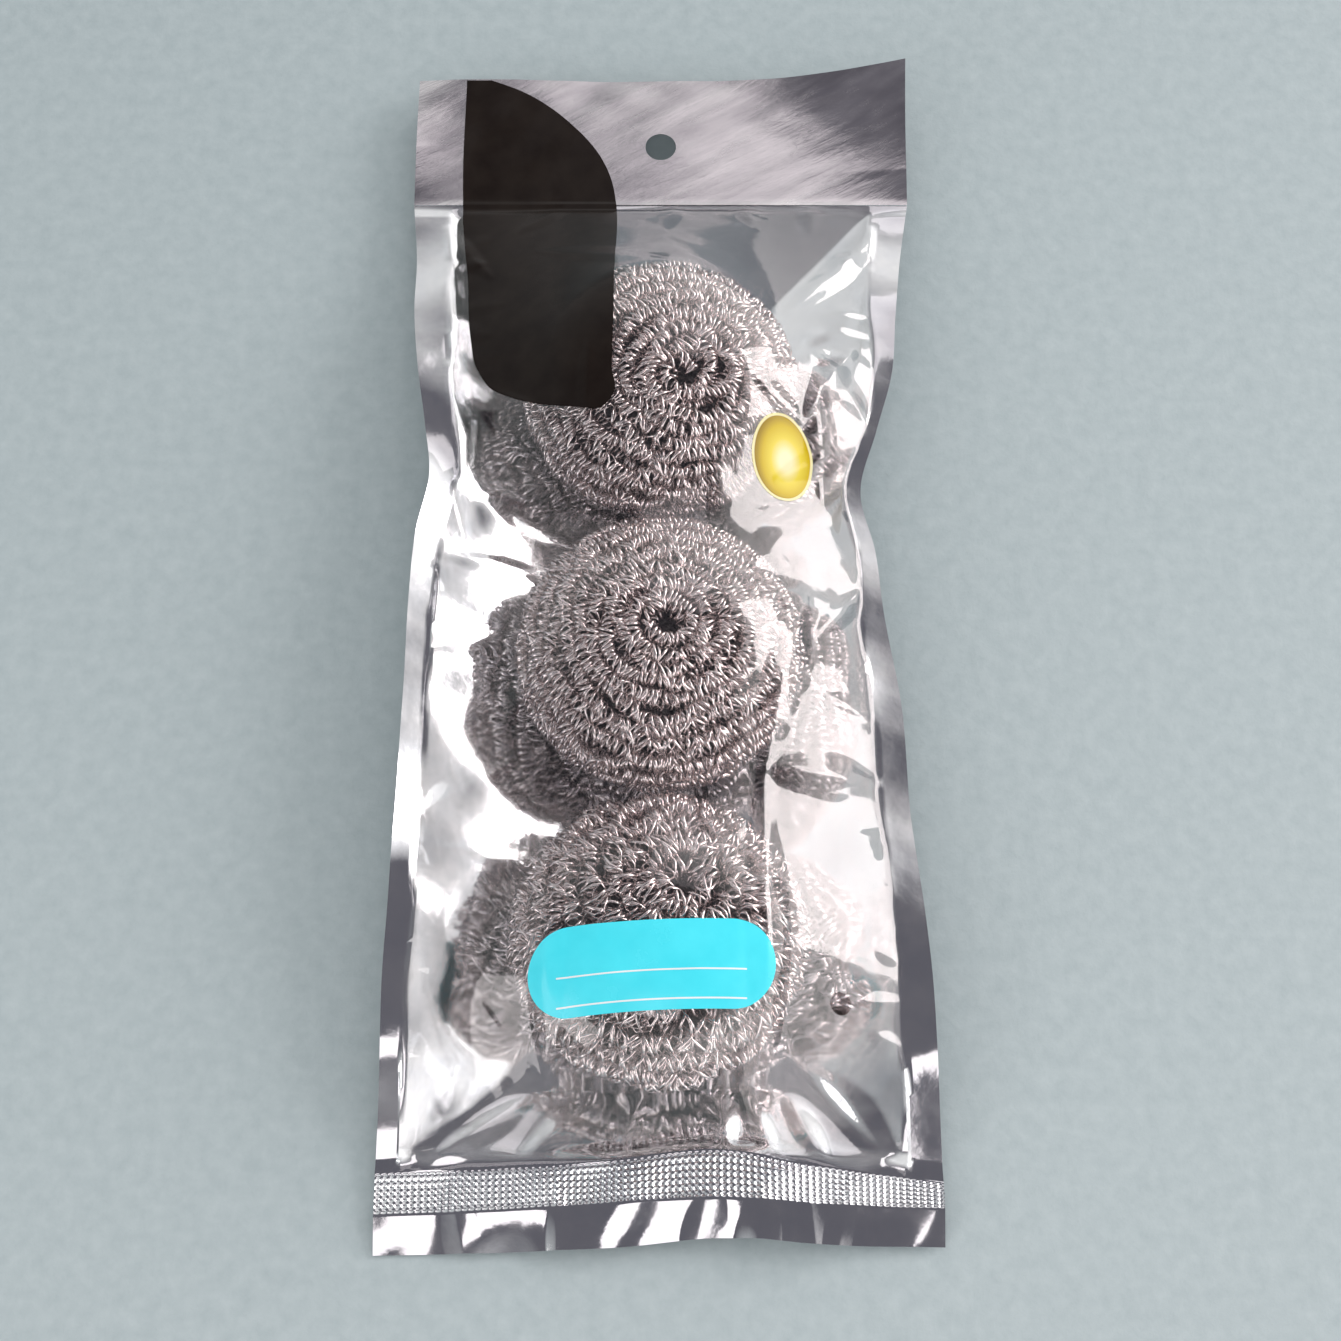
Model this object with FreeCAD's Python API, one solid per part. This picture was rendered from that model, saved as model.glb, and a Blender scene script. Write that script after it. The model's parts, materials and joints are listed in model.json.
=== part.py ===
"""Pack of wire-coil pot scrubbers in a heat-sealed film bag, lying on its back. Millimetres.

+X runs across the bag, +Y towards the header that hangs on a peg, and +Z up from the table.
The origin is on the table, under the middle of the pack.
"""

import FreeCAD
import Part
import math
import os

# Bag film and its seals
film = 0.25              # thickness of one film
weld_gap = 0.05          # between the two films where they are sealed together
bag_width = 120.0        # flat width, as at the header and at the bottom seal
side_seal = 6.0          # width of each side seal
tail_height = 8.3        # loose flap below the bottom seal
crimp_height = 9.2       # knurled bottom seal
header_height = 36.0     # flat panel above the fold line
crease_gap = 0.8         # room along the fold line, so that the header can turn
hang_hole_d = 7.5
hang_hole_drop = 19.5    # from the header's top edge to the centre of the hang hole

# Wire-coil scrubber
scrubber_d = 64.4
scrubber_h = 36.0
rope_d = 4.4             # outer diameter of the curled wire rope
loop_gap = 0.5           # between one loop and the next
eye_gap = 3.0            # between the rope's end in the eye and the innermost loop
eye_rise = 4.2           # from the straight end of the rope up to the innermost loop
layer_gap = 0.25         # between the wound layer and the core below it

# How the scrubbers sit in the bag
neighbour_gap = 0.6      # between two scrubbers
seat_gap = 0.5           # between a scrubber and the back film under it
cover_gap = 1.5          # between a scrubber and the front film drawn over it
foot_room = 11.3         # from the bottom seal to the first scrubber
head_room = 22.8         # from the last scrubber to the fold line
left_draw_bottom = 1.6   # left side seal drawn in from the flat width, at the lowest scrubber
left_draw_middle = 4.1
left_draw_top = 4.7
right_draw_bottom = 2.3
right_draw_middle = 7.6
right_draw_top = 7.5
left_seam_drop = 0.3     # left side seal below the middle of the scrubbers
right_seam_drop = 3.5
flank_angle = 28.5       # least rise of the back film from the table to the side seals, in degrees

# Film between and beyond the scrubbers
valley_drop = 4.2        # front film between two scrubbers, below its crown
valley_inset = 2.2       # its arch there, narrower than a scrubber at each side
left_low_pinch = 0.5     # left side seal drawn in above the lowest scrubber
left_high_pinch = 2.4    # left side seal drawn in below the top scrubber
right_low_pinch = 0.2
right_high_pinch = 5.2
crimp_lift = 3.3         # ends of the bottom seal above the table
crimp_arch = 3.0         # its middle above its ends
tail_lift = 0.9          # corners of the loose flap above the table
tail_arch = 3.2
header_lift = 8.0        # height of the header above the table

# Label and vent hole, measured from the middle of the lowest scrubber
label_length = 51.0
label_height = 18.0
label_thickness = 0.15
label_glue = 0.05
label_side = -1.5
label_drop = 9.4
vent_hole_d = 4.6
vent_side = 38.0
vent_drop = 14.0

# Flat middle of a section that is sealed together, as a share of its width
FLAT_SHARE = 0.5
# Places of the film's sections along a scrubber, as shares of the scrubber's radius
SHOULDER_SHARE = 0.45
END_SHARES = (0.45, 0.75, 0.96)
# Part of a pinch that still shows beside it, at a scrubber's shoulder
SHOULDER_PINCH = 0.5
# Radius of the core's side, as a share of half its height
CORE_SIDE_SHARE = 0.5
# Depth of the back film's sole below the table, which is cut off again to leave one plane face
SOLE_CUT = 0.05

SCRUBBERS = ("scrubber_bottom", "scrubber_middle", "scrubber_top")
TURN_BETWEEN = 135.0     # each scrubber lies turned from the one below it, in degrees
PATH_STEP = 0.5          # spacing of the points that measure the winding's least gap

# Places that follow from the sizes above
radius = scrubber_d / 2
half_h = scrubber_h / 2
loop_pitch = rope_d + loop_gap
eye_r = rope_d + eye_gap
wound_x = radius - rope_d / 2
wound_z = (half_h - rope_d / 2) / math.sqrt(1 - (eye_r / wound_x) ** 2)
middle_z = film + seat_gap + half_h
spacing = scrubber_d + neighbour_gap
pocket_length = foot_room + 3 * scrubber_d + 2 * neighbour_gap + head_room
pack_length = tail_height + crimp_height + pocket_length + header_height
tail_y = -pack_length / 2
crimp_y = tail_y + tail_height + crimp_height
crease_y = crimp_y + pocket_length
top_y = pack_length / 2
scrubber_y = [crimp_y + foot_room + radius + i * spacing for i in range(len(SCRUBBERS))]

end_x = bag_width / 2 - side_seal
LEFT, RIGHT = -1, 1
crown_x = {
    LEFT: [end_x - draw for draw in (left_draw_bottom, left_draw_middle, left_draw_top)],
    RIGHT: [end_x - draw for draw in (right_draw_bottom, right_draw_middle, right_draw_top)],
}
seam_z = {LEFT: middle_z - left_seam_drop, RIGHT: middle_z - right_seam_drop}
pinches = {LEFT: (left_low_pinch, left_high_pinch), RIGHT: (right_low_pinch, right_high_pinch)}
arch_x = radius + cover_gap
arch_z = half_h + cover_gap
crown_z = middle_z + arch_z


def vec(x, y, z):
    return FreeCAD.Vector(x, y, z)


def line(a, b):
    return Part.LineSegment(a, b).toShape()


def bezier(poles):
    curve = Part.BezierCurve()
    curve.setPoles(poles)
    return curve.toShape()


# The bag's sections

def flat_section(y, lift, arch):
    """A section where the films are sealed together, its ends at lift and its middle higher by arch."""
    return {"y": y, "seals": {side: (end_x, lift) for side in (LEFT, RIGHT)}, "middle": lift + arch}


def pocket_section(y, seals, wide, tall):
    """A section of the open pocket, with the front film drawn over an arch about the scrubbers' middle."""
    return {"y": y, "seals": seals, "arch": (wide, tall)}


def cover_section(centre_y, away, seals):
    """A section over a scrubber, away from its middle, where the arch keeps the cover's gap."""
    share = math.sqrt(1 - (away / arch_x) ** 2)
    return pocket_section(centre_y + away, seals, arch_x * share, arch_z * share)


def end_sections(i, way, room, end_z):
    """Sections over the outer end of scrubber i, going along Y by way, as its seals run to the flat end."""
    sections = []
    for share in END_SHARES:
        run = share * radius / (radius + room)
        seals = {side: (crown_x[side][i] + (end_x - crown_x[side][i]) * run,
                        seam_z[side] + (end_z - seam_z[side]) * run) for side in (LEFT, RIGHT)}
        sections.append(cover_section(scrubber_y[i], way * share * radius, seals))
    return sections


def row_seals(i, pinch_share, gap=None):
    """Seal corners at scrubber i, or half way to the next one, drawn in by a share of the pinch of a gap."""
    seals = {}
    for side in (LEFT, RIGHT):
        x = crown_x[side][i] if pinch_share < 1 else (crown_x[side][i] + crown_x[side][i + 1]) / 2
        pinch = 0 if gap is None else pinches[side][gap]
        seals[side] = (x - pinch_share * pinch, seam_z[side])
    return seals


def bag_sections():
    """The sections of the pocket, from the tail's edge to the fold line."""
    shoulder = SHOULDER_SHARE * radius
    sections = [
        flat_section(tail_y, tail_lift, tail_arch),
        flat_section(tail_y + tail_height, crimp_lift, crimp_arch),
        flat_section(crimp_y, crimp_lift, crimp_arch),
    ]
    sections += reversed(end_sections(0, -1, foot_room, crimp_lift))
    sections.append(cover_section(scrubber_y[0], 0, row_seals(0, 0)))
    for i, y in enumerate(scrubber_y[:-1]):
        sections.append(cover_section(y, shoulder, row_seals(i, SHOULDER_PINCH, i)))
        valley = (radius - valley_inset, arch_z - valley_drop)
        sections.append(pocket_section(y + spacing / 2, row_seals(i, 1, i), *valley))
        sections.append(cover_section(scrubber_y[i + 1], -shoulder, row_seals(i + 1, SHOULDER_PINCH, i)))
        sections.append(cover_section(scrubber_y[i + 1], 0, row_seals(i + 1, 0)))
    sections += end_sections(len(SCRUBBERS) - 1, 1, head_room, header_lift)
    sections.append(flat_section(crease_y - crease_gap / 2, header_lift, 0))
    return sections


def tangent(x, z, wide, tall, way=1):
    """Angle on an arch where a straight film from a seal corner touches it: above, or below with way -1."""
    u, v = x / wide, (z - middle_z) / tall
    return math.atan2(v, u) + way * math.acos(1 / math.hypot(u, v))


def flank_slope(x, z, wide, tall):
    """Rise of the back film to a seal corner: its own angle, or steeper to clear the arch."""
    touch = tangent(x, z, wide, tall, -1)
    clear = math.atan2(z - middle_z - tall * math.sin(touch), x - wide * math.cos(touch))
    return max(math.radians(flank_angle), clear)


def front_chain(s, side, lift):
    """Half a front film section raised by lift: seal edge, seal corner, shoulder, two poles and crown."""
    x, z = s["seals"][side]
    if "arch" not in s:
        flat_x = FLAT_SHARE * x
        shift = lift * math.tan(math.atan2(s["middle"] - z, x - flat_x) / 2)
        top = s["middle"] + lift
        corner = (x + shift, z + lift)
        crown = [(flat_x + shift, top), (flat_x * 2 / 3, top), (flat_x / 3, top), (0, top)]
        return [(x + side_seal, z + lift), corner] + crown
    wide, tall = s["arch"]
    touch = tangent(x, z, wide, tall)
    slope = math.atan2(middle_z + tall * math.sin(touch) - z, x - wide * math.cos(touch))
    corner = (x + lift * math.tan(slope / 2), z + lift)
    wide, tall = wide + lift, tall + lift
    touch = tangent(*corner, wide, tall)
    bow = 4 / 3 * math.tan((math.pi / 2 - touch) / 4)
    shoulder = (wide * math.cos(touch), middle_z + tall * math.sin(touch))
    pole = (shoulder[0] - bow * wide * math.sin(touch), shoulder[1] + bow * tall * math.cos(touch))
    top = middle_z + tall
    return [(x + side_seal, z + lift), corner, shoulder, pole, (bow * wide, top), (0, top)]


def front_spans(s, lift):
    """Runs of points of a front film section raised by lift, from its right edge to its left one."""
    spans = {}
    for side in (LEFT, RIGHT):
        points = [vec(side * x, s["y"], z) for x, z in front_chain(s, side, lift)]
        spans[side] = [points[:2], points[1:3], points[2:]]
    return spans[RIGHT] + [span[::-1] for span in reversed(spans[LEFT])]


def front_wire(s, low, high):
    """Closed outline of the front film's section between two lifts."""
    lower = front_spans(s, low)
    upper = [span[::-1] for span in reversed(front_spans(s, high))]
    left_end = [lower[-1][-1], upper[0][0]]
    right_end = [upper[-1][-1], lower[0][0]]
    spans = lower + [left_end] + upper + [right_end]
    return Part.Wire([line(*span) if len(span) == 2 else bezier(span) for span in spans])


def back_wire(s):
    """Closed outline of the back film's section: seals, flanks and a base reaching just below the table."""
    chains = {}
    for side in (LEFT, RIGHT):
        x, seal_z = s["seals"][side][0], s["seals"][side][1] - weld_gap
        if "arch" in s:
            slope = flank_slope(x, seal_z, *s["arch"])
            base_z = film
            base_x = x - (seal_z - base_z) / math.tan(slope)
            sunk = (SOLE_CUT / math.tan(slope), SOLE_CUT)
        else:
            base_z = s["middle"] - weld_gap
            base_x = FLAT_SHARE * x
            sunk = (0, 0)
        miter = film * math.tan(math.atan2(seal_z - base_z, x - base_x) / 2)
        upper = [(x + side_seal, seal_z), (x, seal_z), (base_x, base_z)]
        foot = (base_x + miter - sunk[0], base_z - film - sunk[1])
        lower = [(x + side_seal, seal_z - film), (x + miter, seal_z - film), foot]
        chains[side] = [[vec(side * px, s["y"], pz) for px, pz in chain] for chain in (upper, lower)]
    (left_upper, left_lower), (right_upper, right_lower) = chains[LEFT], chains[RIGHT]
    points = right_upper + left_upper[::-1] + left_lower + right_lower[::-1]
    return Part.makePolygon(points + points[:1])


def front_film():
    """Clear film over the scrubbers, with its vent hole."""
    shell = Part.makeLoft([front_wire(s, 0, film) for s in bag_sections()], True, True)
    vent = Part.makeCylinder(vent_hole_d / 2, 2 * crown_z, vec(vent_side, scrubber_y[0] - vent_drop, 0))
    return shell.cut(vent)


def back_film():
    """Metallised film under the scrubbers, with one plane face where it rests on the table."""
    loft = Part.makeLoft([back_wire(s) for s in bag_sections()], True, True)
    table = Part.makeBox(2 * bag_width, 2 * pack_length, middle_z, vec(-bag_width, -pack_length, -middle_z))
    return loft.cut(table).Solids[0]


def header_panel(z):
    """One film of the header, with its lower face at height z and the hang hole through it."""
    start_y = crease_y + crease_gap / 2
    panel = Part.makeBox(bag_width, top_y - start_y, film, vec(-bag_width / 2, start_y, z))
    hole = Part.makeCylinder(hang_hole_d / 2, 3 * film, vec(0, top_y - hang_hole_drop, z - film))
    return panel.cut(hole)


def front_label():
    """Pill-shaped label that follows the front film over the lowest scrubber."""
    low = film + label_glue
    skin = Part.makeLoft([front_wire(s, low, low + label_thickness) for s in bag_sections()], True, True)
    end_r = label_height / 2
    straight = label_length - label_height
    centre_y = scrubber_y[0] - label_drop
    left = label_side - straight / 2
    height = crown_z + label_height
    bar = Part.makeBox(straight, label_height, height, vec(left, centre_y - end_r, middle_z))
    caps = [Part.makeCylinder(end_r, height, vec(left + x, centre_y, middle_z)) for x in (0, straight)]
    pill = bar.multiFuse(caps).removeSplitter()
    return skin.common(pill)


# The scrubber's winding

def meridian(semi_x, semi_z, steps=2000):
    """Angles from the pole down one side of an ellipse, with the length run so far at each."""
    table = [(0.0, 0.0)]
    for i in range(1, steps + 1):
        angle = math.pi * i / steps
        mid = math.pi * (i - 0.5) / steps
        speed = math.hypot(semi_x * math.cos(mid), semi_z * math.sin(mid))
        table.append((angle, table[-1][1] + speed * math.pi / steps))
    return table


def angle_at(table, length):
    """Angle at a length run along the meridian, by halving."""
    low, high = 0, len(table) - 1
    while high - low > 1:
        mid = (low + high) // 2
        low, high = (mid, high) if table[mid][1] < length else (low, mid)
    share = (length - table[low][1]) / (table[high][1] - table[low][1])
    return table[low][0] + share * (table[high][0] - table[low][0])


def biarc(p, t, q, u):
    """Two arcs that leave p along t and reach q along u, smooth where they meet."""
    chord = q - p
    both = t + u
    spread = 2 * (1 - t.dot(u))
    run = chord.dot(both)
    if spread < 1e-9:
        reach = chord.dot(chord) / (2 * run)
    else:
        reach = (math.sqrt(run * run + spread * chord.dot(chord)) - run) / spread
    joint = (p + t * reach + q - u * reach) * 0.5
    return [tangent_arc(p, t, joint), tangent_arc(q, u * -1, joint, True)]


def tangent_arc(p, t, q, backwards=False):
    """Arc from p along t to q; backwards gives the same arc from q to p."""
    chord = q - p
    half_turn = t.getAngle(chord)
    side = (chord.normalize() - t * math.cos(half_turn)).normalize()
    span = (q - p).Length
    bend_r = span / (2 * math.sin(half_turn))
    mid = p + t * (bend_r * math.sin(half_turn)) + side * (bend_r * (1 - math.cos(half_turn)))
    return Part.Arc(q, mid, p) if backwards else Part.Arc(p, mid, q)


def spiral_stations():
    """Points and directions at each quarter turn of the wound layer, from the top eye to the bottom one."""
    table = meridian(wound_x, wound_z)
    first = next(length for angle, length in table if wound_x * math.sin(angle) >= eye_r)
    quarters = int(4 * (table[-1][1] - 2 * first) / loop_pitch)
    stations = []
    for i in range(quarters + 1):
        turn = i * math.pi / 2
        angle = angle_at(table, first + loop_pitch * i / 4)
        speed = math.hypot(wound_x * math.cos(angle), wound_z * math.sin(angle))
        advance = loop_pitch / (2 * math.pi) / speed
        r = wound_x * math.sin(angle)
        r_rate = wound_x * math.cos(angle) * advance
        point = vec(r * math.cos(turn), r * math.sin(turn), wound_z * math.cos(angle))
        direction = vec(
            r_rate * math.cos(turn) - r * math.sin(turn),
            r_rate * math.sin(turn) + r * math.cos(turn),
            -wound_z * math.sin(angle) * advance,
        )
        stations.append((point, direction.normalize()))
    return stations


def winding_path(stations):
    """Rope path: straight up out of the top eye, round the ball, and straight up into the bottom eye."""
    up = vec(0, 0, 1)
    top_end = vec(0, 0, stations[0][0].z - eye_rise)
    bottom_end = vec(0, 0, stations[-1][0].z + eye_rise)
    nodes = [(top_end, up)] + stations + [(bottom_end, up)]
    curves = [Part.LineSegment(top_end - up * rope_d, top_end)]
    for (p, t), (q, u) in zip(nodes, nodes[1:]):
        curves += biarc(p, t, q, u)
    curves.append(Part.LineSegment(bottom_end, bottom_end + up * rope_d))
    return Part.Wire([curve.toShape() for curve in curves])


def least_gap(path):
    """Least gap between stretches of the rope that lie more than two diameters apart along it."""
    points = path.discretize(int(path.Length / PATH_STEP))
    apart = int(2 * rope_d / PATH_STEP) + 1
    least = min(
        (a - b).Length
        for i, a in enumerate(points)
        for b in points[i + apart:]
    )
    return least - rope_d


def winding(path):
    """The wound outer layer, as one unbroken tube round the ball."""
    start = path.Edges[0].Vertexes[0].Point
    outline = Part.Wire(Part.Circle(start, vec(0, 0, 1), rope_d / 2).toShape())
    tube = Part.BRepOffsetAPI.MakePipeShell(path)
    tube.add(outline)
    tube.build()
    tube.makeSolid()
    return tube.shape()


def core(stations):
    """The layers below the wound one, as a plain bun with a well at each eye for the rope's end."""
    semi_x = wound_x - rope_d / 2 - layer_gap
    semi_z = wound_z - rope_d / 2 - layer_gap
    side_r = CORE_SIDE_SHARE * semi_z
    crown_r = ((semi_x - side_r) ** 2 + semi_z ** 2 - side_r ** 2) / (2 * (semi_z - side_r))
    meet_x = crown_r * (semi_x - side_r) / (crown_r - side_r)
    well_r = eye_r - 2 * layer_gap
    top_floor = stations[0][0].z - eye_rise - rope_d
    bottom_floor = stations[-1][0].z + eye_rise + rope_d

    def crown(x, side=1):
        return vec(x, 0, side * (semi_z - crown_r + math.sqrt(crown_r ** 2 - x ** 2)))

    between = (well_r + meet_x) / 2
    profile = Part.Wire([
        line(vec(0, 0, top_floor), vec(well_r, 0, top_floor)),
        line(vec(well_r, 0, top_floor), crown(well_r)),
        Part.Arc(crown(well_r), crown(between), crown(meet_x)).toShape(),
        Part.Arc(crown(meet_x), vec(semi_x, 0, 0), crown(meet_x, -1)).toShape(),
        Part.Arc(crown(meet_x, -1), crown(between, -1), crown(well_r, -1)).toShape(),
        line(crown(well_r, -1), vec(well_r, 0, bottom_floor)),
        line(vec(well_r, 0, bottom_floor), vec(0, 0, bottom_floor)),
        line(vec(0, 0, bottom_floor), vec(0, 0, top_floor)),
    ])
    return Part.Face(profile).revolve(vec(0, 0, 0), vec(0, 0, 1), 360)


def placed(shape, y, turn):
    """A copy of a scrubber's piece, turned about its own axis and set in the bag at y."""
    copy = shape.copy()
    copy.rotate(vec(0, 0, 0), vec(0, 0, 1), turn)
    copy.translate(vec(0, y, middle_z))
    return copy


def all_parts():
    """Every piece of the pack by name."""
    stations = spiral_stations()
    path = winding_path(stations)
    print(f"winding: {(len(stations) - 1) / 4:.2f} loops, rope {path.Length:.0f} mm,"
          f" least gap to itself {least_gap(path):.2f} mm")
    wound = winding(path)
    bun = core(stations)
    parts = {
        "front_film": front_film(),
        "back_film": back_film(),
        "header_front_film": header_panel(header_lift),
        "header_back_film": header_panel(header_lift - weld_gap - film),
        "front_label": front_label(),
    }
    for i, name in enumerate(SCRUBBERS):
        parts[f"{name}_winding"] = placed(wound, scrubber_y[i], i * TURN_BETWEEN)
        parts[f"{name}_core"] = placed(bun, scrubber_y[i], i * TURN_BETWEEN)
    return parts


os.makedirs("parts", exist_ok=True)
for part_name, part_shape in all_parts().items():
    box = part_shape.BoundBox
    print(f"{part_name}: {len(part_shape.Solids)} solid, valid {part_shape.isValid()},"
          f" {part_shape.Volume:.0f} mm3, {box.XLength:.1f} x {box.YLength:.1f} x {box.ZLength:.1f} mm")
    part_shape.exportStep(f"parts/{part_name}.step")
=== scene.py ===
# %% [markdown]
# # A pack of wire scrubbers in a film bag
#
# Three scrubbers, each one long curl of flat steel wire wound into a bun, lie in a row in a sealed bag.
# The front of the bag is clear film, the back is mirror film, the bottom is a knurled seal and the top is a
# silver header with a hang hole. This lesson builds each of these as a surface worked out with numpy, in
# millimetres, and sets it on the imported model, which gives the places of everything that moves.

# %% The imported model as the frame
import json
import math

import bpy
import numpy as np
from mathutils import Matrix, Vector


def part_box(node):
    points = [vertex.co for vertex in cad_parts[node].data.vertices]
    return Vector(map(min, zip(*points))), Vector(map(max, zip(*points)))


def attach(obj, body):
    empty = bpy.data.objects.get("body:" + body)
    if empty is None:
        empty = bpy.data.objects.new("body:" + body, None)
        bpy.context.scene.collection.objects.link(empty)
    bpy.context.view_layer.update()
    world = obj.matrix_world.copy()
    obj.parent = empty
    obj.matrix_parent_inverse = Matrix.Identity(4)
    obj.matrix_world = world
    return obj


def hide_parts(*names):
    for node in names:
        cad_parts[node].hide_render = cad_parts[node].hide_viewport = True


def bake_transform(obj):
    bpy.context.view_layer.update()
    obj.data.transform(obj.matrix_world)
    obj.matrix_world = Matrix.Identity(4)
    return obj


MM = 0.001
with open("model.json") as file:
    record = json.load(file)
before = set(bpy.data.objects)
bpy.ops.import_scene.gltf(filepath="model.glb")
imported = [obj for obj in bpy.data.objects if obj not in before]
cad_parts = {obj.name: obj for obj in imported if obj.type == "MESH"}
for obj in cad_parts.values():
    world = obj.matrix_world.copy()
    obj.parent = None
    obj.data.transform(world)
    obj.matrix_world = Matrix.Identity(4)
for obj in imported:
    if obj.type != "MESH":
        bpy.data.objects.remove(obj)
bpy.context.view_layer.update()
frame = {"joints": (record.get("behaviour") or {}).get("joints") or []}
turn_points = {joint["child"]: np.array(joint["pos_m"]) / MM for joint in frame["joints"]}
ball_centres = {body: turn_points[body] for body in ("scrubber_bottom", "scrubber_middle", "scrubber_top")}
crease_y, header_z = turn_points["header"][1:]
header_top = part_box("header_front_film")[1][1] / MM
half_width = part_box("header_front_film")[1][0] / MM
tail_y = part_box("front_film")[0][1] / MM
crimp_height, tail_height = 9.2, 8.3
crimp_y = tail_y + (tail_height + crimp_height)
print("bag from", tail_y, "to", header_top, "crease at", crease_y, "balls at", list(ball_centres.values()))

# %% [markdown]
# ## Camera, softbox and table
#
# The photograph looks down on the pack from in front, about twenty degrees off the vertical. A mirror bag
# shows its surroundings more than itself, so the light comes first. One large softbox stands on the right:
# the clear film throws it back from its right flank as a milky veil, and the mirror film behind the balls
# throws it back from the left flank as plain white. A weaker panel behind the pack is what the flat header
# shows, one above the front end lights the tail, and a low one on the left gives the wire its glints on the
# shaded side. Everything else stays dark, which gives the mirror its navy parts.

# %% Camera and lamps
PHOTO_SIDE, FOCAL_PIXELS = 1341, 2300
camera = bpy.data.objects.new("camera", bpy.data.cameras.new("camera"))
camera.location = (0.0024, -0.1931, 0.4956)
camera.rotation_euler = (math.radians(20.01), 0, 0)
camera.data.sensor_width = 36
camera.data.lens = camera.data.sensor_width * FOCAL_PIXELS / PHOTO_SIDE
bpy.context.scene.collection.objects.link(camera)
bpy.context.scene.camera = camera
bpy.context.scene.view_settings.view_transform = "Standard"


def softbox(name, place, aim, size, radiance, colour):
    """A rectangular lamp facing aim. Its power is radiance times pi times its area."""
    lamp = bpy.data.lights.new(name, "AREA")
    lamp.shape = "RECTANGLE"
    lamp.size, lamp.size_y = size
    lamp.energy = radiance * math.pi * size[0] * size[1]
    lamp.color = colour
    holder = bpy.data.objects.new(name, lamp)
    holder.location = place
    away = np.array(place) - np.array(aim)
    flat = math.hypot(away[0], away[1])
    holder.rotation_euler = (math.atan2(flat, away[2]), 0, math.atan2(away[0], -away[1]))
    bpy.context.scene.collection.objects.link(holder)


softbox("key_softbox", (1.256, 0.457, 0.68), (0, 0, 0.02), (1.02, 0.72), 4.6, (1.0, 0.92, 0.91))
softbox("tail_panel_light", (-0.05, -0.68, 1.07), (0, -0.13, 0.0), (0.56, 0.30), 1.3, (1.0, 0.93, 0.94))
softbox("glint_light", (-0.92, -0.66, 0.44), (0, 0, 0.02), (0.80, 0.50), 1.7, (1.0, 0.95, 0.94))
softbox("header_panel_light", (0.17, 0.69, 0.88), (0, 0.12, 0.01), (0.50, 0.40), 0.58, (1.0, 0.94, 0.955))
lamp_names = [lamp.name for lamp in bpy.data.lights]
print("camera lens", round(camera.data.lens, 2), "mm; lamps", lamp_names)

# %% [markdown]
# The room is a world with an unlit ceiling, a pale wall on the right and a dim one on the left, which is
# what the mirror film shows. Diffuse rays get a plain even light in its place, so that the shadow on the
# table stays as soft as in the photograph. The table is one plain sheet with a fine mottle. Its colour is
# also paler towards the front and the right: painted light, for the lamps' falloff across the table. The
# small helpers below each add one node, and every finish in this lesson uses them.

# %% Helpers for nodes


def new_material(name, metallic=0.0):
    """A node material, with its tree, its Principled shader and the piece's own coordinates."""
    material = bpy.data.materials.new(name)
    material.use_nodes = True
    tree = material.node_tree
    shader = tree.nodes["Principled BSDF"]
    shader.inputs["Metallic"].default_value = metallic
    place = tree.nodes.new("ShaderNodeTexCoord").outputs["Object"]
    return material, tree, shader, place


def add_noise(tree, place, scale, detail=3.0, roughness=0.5):
    """A noise texture on the given coordinates; scale counts features per metre."""
    noise = tree.nodes.new("ShaderNodeTexNoise")
    noise.inputs["Scale"].default_value = scale
    noise.inputs["Detail"].default_value = detail
    noise.inputs["Roughness"].default_value = roughness
    tree.links.new(place, noise.inputs["Vector"])
    return noise.outputs["Fac"]


def add_ramp(tree, value, stops):
    """A colour ramp with stops of (position, colour)."""
    ramp = tree.nodes.new("ShaderNodeValToRGB")
    ends = ramp.color_ramp.elements
    while len(ends) < len(stops):
        ends.new(0.5)
    for end, (position, colour) in zip(ends, stops):
        end.position = position
        end.color = (*colour, 1)
    tree.links.new(value, ramp.inputs["Fac"])
    return ramp.outputs["Color"]


def add_range(tree, value, low, high, out_low, out_high):
    """Maps a value from one range to another, held at the ends."""
    node = tree.nodes.new("ShaderNodeMapRange")
    for socket, number in zip(("From Min", "From Max", "To Min", "To Max"), (low, high, out_low, out_high)):
        node.inputs[socket].default_value = number
    tree.links.new(value, node.inputs["Value"])
    return node.outputs["Result"]


def add_math(tree, operation, *values):
    """A math node; each value is a number or another node's output."""
    node = tree.nodes.new("ShaderNodeMath")
    node.operation = operation
    for socket, value in zip(node.inputs, values):
        if isinstance(value, (int, float)):
            socket.default_value = value
        else:
            tree.links.new(value, socket)
    return node.outputs[0]


def add_bump(tree, height, distance, strength=1.0):
    """A bump normal from a height; distance is the height of a full step, in metres."""
    bump = tree.nodes.new("ShaderNodeBump")
    bump.inputs["Distance"].default_value = distance
    bump.inputs["Strength"].default_value = strength
    tree.links.new(height, bump.inputs["Height"])
    return bump.outputs["Normal"]


def add_mix(tree, share, first, second):
    """A colour between two, each a plain colour or another node's output; share 0 gives the first."""
    node = tree.nodes.new("ShaderNodeMix")
    node.data_type = "RGBA"
    tree.links.new(share, node.inputs["Factor"])
    for socket, colour in ((node.inputs[6], first), (node.inputs[7], second)):
        if isinstance(colour, tuple):
            socket.default_value = colour
        else:
            tree.links.new(colour, socket)
    return node.outputs[2]


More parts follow.
